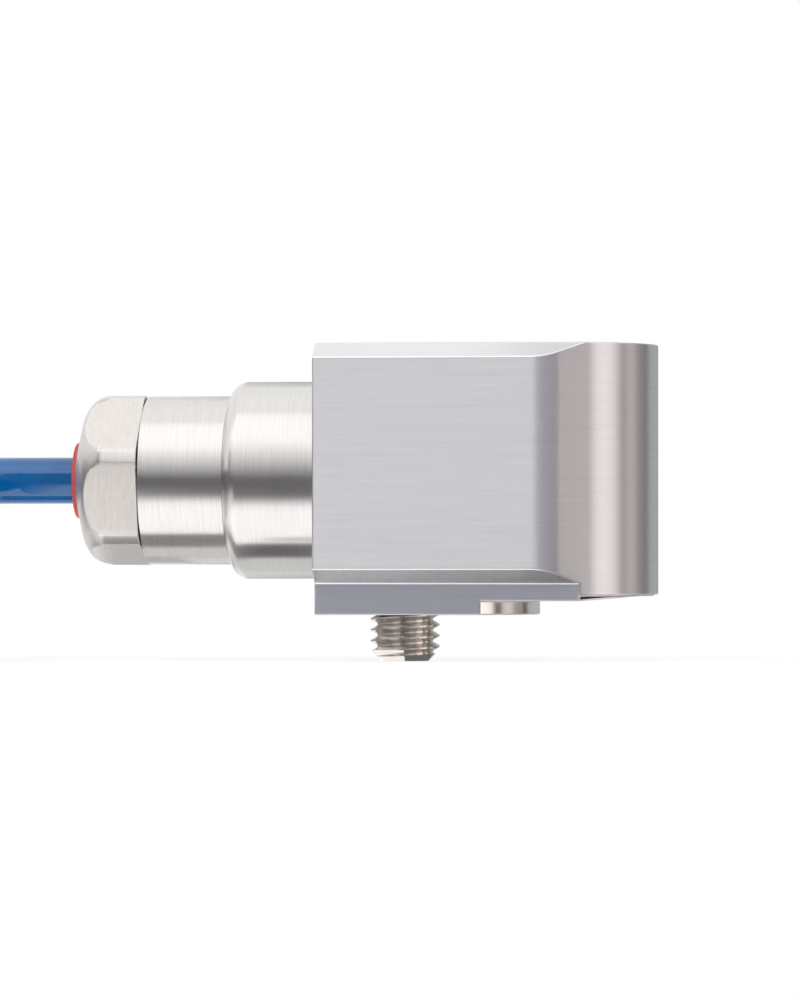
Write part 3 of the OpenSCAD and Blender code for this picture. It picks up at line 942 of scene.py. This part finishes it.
def card(name, low, high, levels):
    bpy.ops.object.select_all(action="DESELECT")
    bpy.ops.mesh.primitive_plane_add(size=1)
    piece = bpy.context.active_object
    piece.name = name
    stands_across = low[0] == high[0]
    for vertex in piece.data.vertices:
        across = vertex.co.x + 0.5
        up = vertex.co.y + 0.5
        shares = (across, across if stands_across else up, up)
        vertex.co = [mm(a + (b - a) * share) for a, b, share in zip(low, high, shares)]
    axis = "Z" if stands_across else "X"
    ends = [mm(end["XYZ".index(axis)]) for end in (low, high)]
    mirror_only(piece, axis, ends, levels)


# %% [markdown]
# Dark and grey cards lie below the barrels, the cable and the slope over the foot. They are painted
# shade: they stand for the floor in the part's own shadow, which reflections can't see, since the floor
# is hidden from them. A dark flag before the cable draws the dark stripe along it. A screen keeps the
# coil, which is only put away beside the part, out of the reflections: pale below and dark above, like
# the room behind it.

# %% Cards round the barrels and the cable
# Painted shade: these cards stand for the floor in the part's shadow, seen only in reflections
card("neck_strip", (-20.2, -11.1, -5.2), (-9.5, -4.1, -5.2), levels=(0.14, 0.14))
card("gland_strip", (-38.5, -10.2, -5.2), (-20.4, -2.3, -5.2), levels=(0.28, 0.28))
card("nut_strip", (-39, 6, -5.2), (-28.5, 26, -5.2), levels=(0.55, 0.55))
card("slope_strip", (-10, -17, -5.3), (26, -10, -5.3), levels=(0.86, 0.1))
card("coil_screen_low", (-45.6, -62, -5.2), (-45.6, -6, 11), levels=(1.3, 0.16))
card("coil_screen_high", (-45.6, -62, 11), (-45.6, -6, 20), levels=(0.14, 0.14))
card("cable_strip", (-51.2, -3.6, -5.2), (-40.8, 7.5, -5.2), levels=(0.18, 0.18))
card("cable_flag", (-55, -30, 6), (-42.2, -30, 36), levels=(0.18, 0.18))

# %% [markdown]
# The flanks of the thread look at the floor and past the part. Grey cards beside the stud keep them from
# being all white, and a pale and a dark one under its tip light the chamfer from the left.

# %% Cards round the stud
card("thread_left", (-16.5, -12.3, -5.3), (-2.4, -12.3, -0.3), levels=(0.6, 0.6))
card("thread_back", (-9, -11, -5.3), (-9, 14, -0.3), levels=(0.35, 0.35))
card("thread_right", (5.2, -12.3, -5.3), (14.7, -12.3, -0.3), levels=(0.6, 0.6))
card("tip_left", (-4.6, -5, -5.38), (0.2, 0.5, -5.38), levels=(1.25, 1.25))
card("tip_right", (0.3, -5, -5.38), (4.6, 0.5, -5.38), levels=(0.18, 0.18))

# %% [markdown]
# The floor is pale and plain, and lies in the plane of the stud's tip. To the camera it glows as white
# as the room a little way off, so that no horizon shows. Near the part it is also lit, and keeps a soft
# shadow.

# %% Floor
floor_size = 6
shadow_near = 30
shadow_far = 160
near_glow = 0.88
bpy.ops.object.select_all(action="DESELECT")
bpy.ops.mesh.primitive_plane_add(size=floor_size, location=(0, 0, mm(tip_z)))
floor = bpy.context.active_object
floor.name = "white_floor"
# White card: matt, and as bright as the room
floor_finish = bpy.data.materials.new("white_card")
floor_finish.use_nodes = True
floor.data.materials.append(floor_finish)
floor.visible_glossy = False

# %% Finish of the floor
tree = floor_finish.node_tree
tree.nodes.clear()
place = add(tree, "ShaderNodeTexCoord")
away = add(tree, "ShaderNodeVectorMath", links={0: place.outputs["Object"]}, operation="LENGTH")
white = add(
    tree, "ShaderNodeMapRange",
    {"From Min": mm(shadow_near), "From Max": mm(shadow_far), "To Min": near_glow, "To Max": 1.0},
    {"Value": away.outputs["Value"]},
)
ray = add(tree, "ShaderNodeLightPath")
shares = {0: ray.outputs["Is Camera Ray"], 1: white.outputs[0]}
share = add(tree, "ShaderNodeMath", links=shares, operation="MULTIPLY")
matt = add(tree, "ShaderNodeBsdfDiffuse", {"Color": (0.9, 0.9, 0.9, 1)})
glow = add(tree, "ShaderNodeEmission", {"Color": (1, 1, 1, 1), "Strength": 1.0})
surfaces = {0: share.outputs[0], 1: matt.outputs[0], 2: glow.outputs[0]}
mixed = add(tree, "ShaderNodeMixShader", links=surfaces)
add(tree, "ShaderNodeOutputMaterial", links={"Surface": mixed.outputs[0]})

# %% [markdown]
# The lamps light what isn't metal: the cable, the seal, the straps and the floor. Reflections don't see
# them, because there the boards do the work.

# %% Lamps


def soft_lamp(name, place, aim, size, power):
    data = bpy.data.lights.new(name, "AREA")
    data.size = size
    data.energy = power
    lamp = bpy.data.objects.new(name, data)
    bpy.context.scene.collection.objects.link(lamp)
    lamp.location = place
    lamp.rotation_euler = (Vector(aim) - lamp.location).to_track_quat("-Z", "Y").to_euler()
    lamp.visible_camera = False
    lamp.visible_glossy = False


centre = (0, 0, mm(15))
soft_lamp("key_softbox", (-0.5, -0.7, 0.9), centre, size=0.7, power=10.5)
soft_lamp("fill_softbox", (0.8, -0.5, 0.6), centre, size=0.6, power=5)
soft_lamp("low_softbox", (-0.3, -0.9, 0.0), centre, size=0.5, power=3)
# A small panel under the cable, which would be dark below otherwise
under_cable = (mm(-42), mm(-4), mm(-4.8))
soft_lamp("cable_panel", under_cable, (mm(-42), 0, mm(15.5)), size=mm(8), power=0.003)
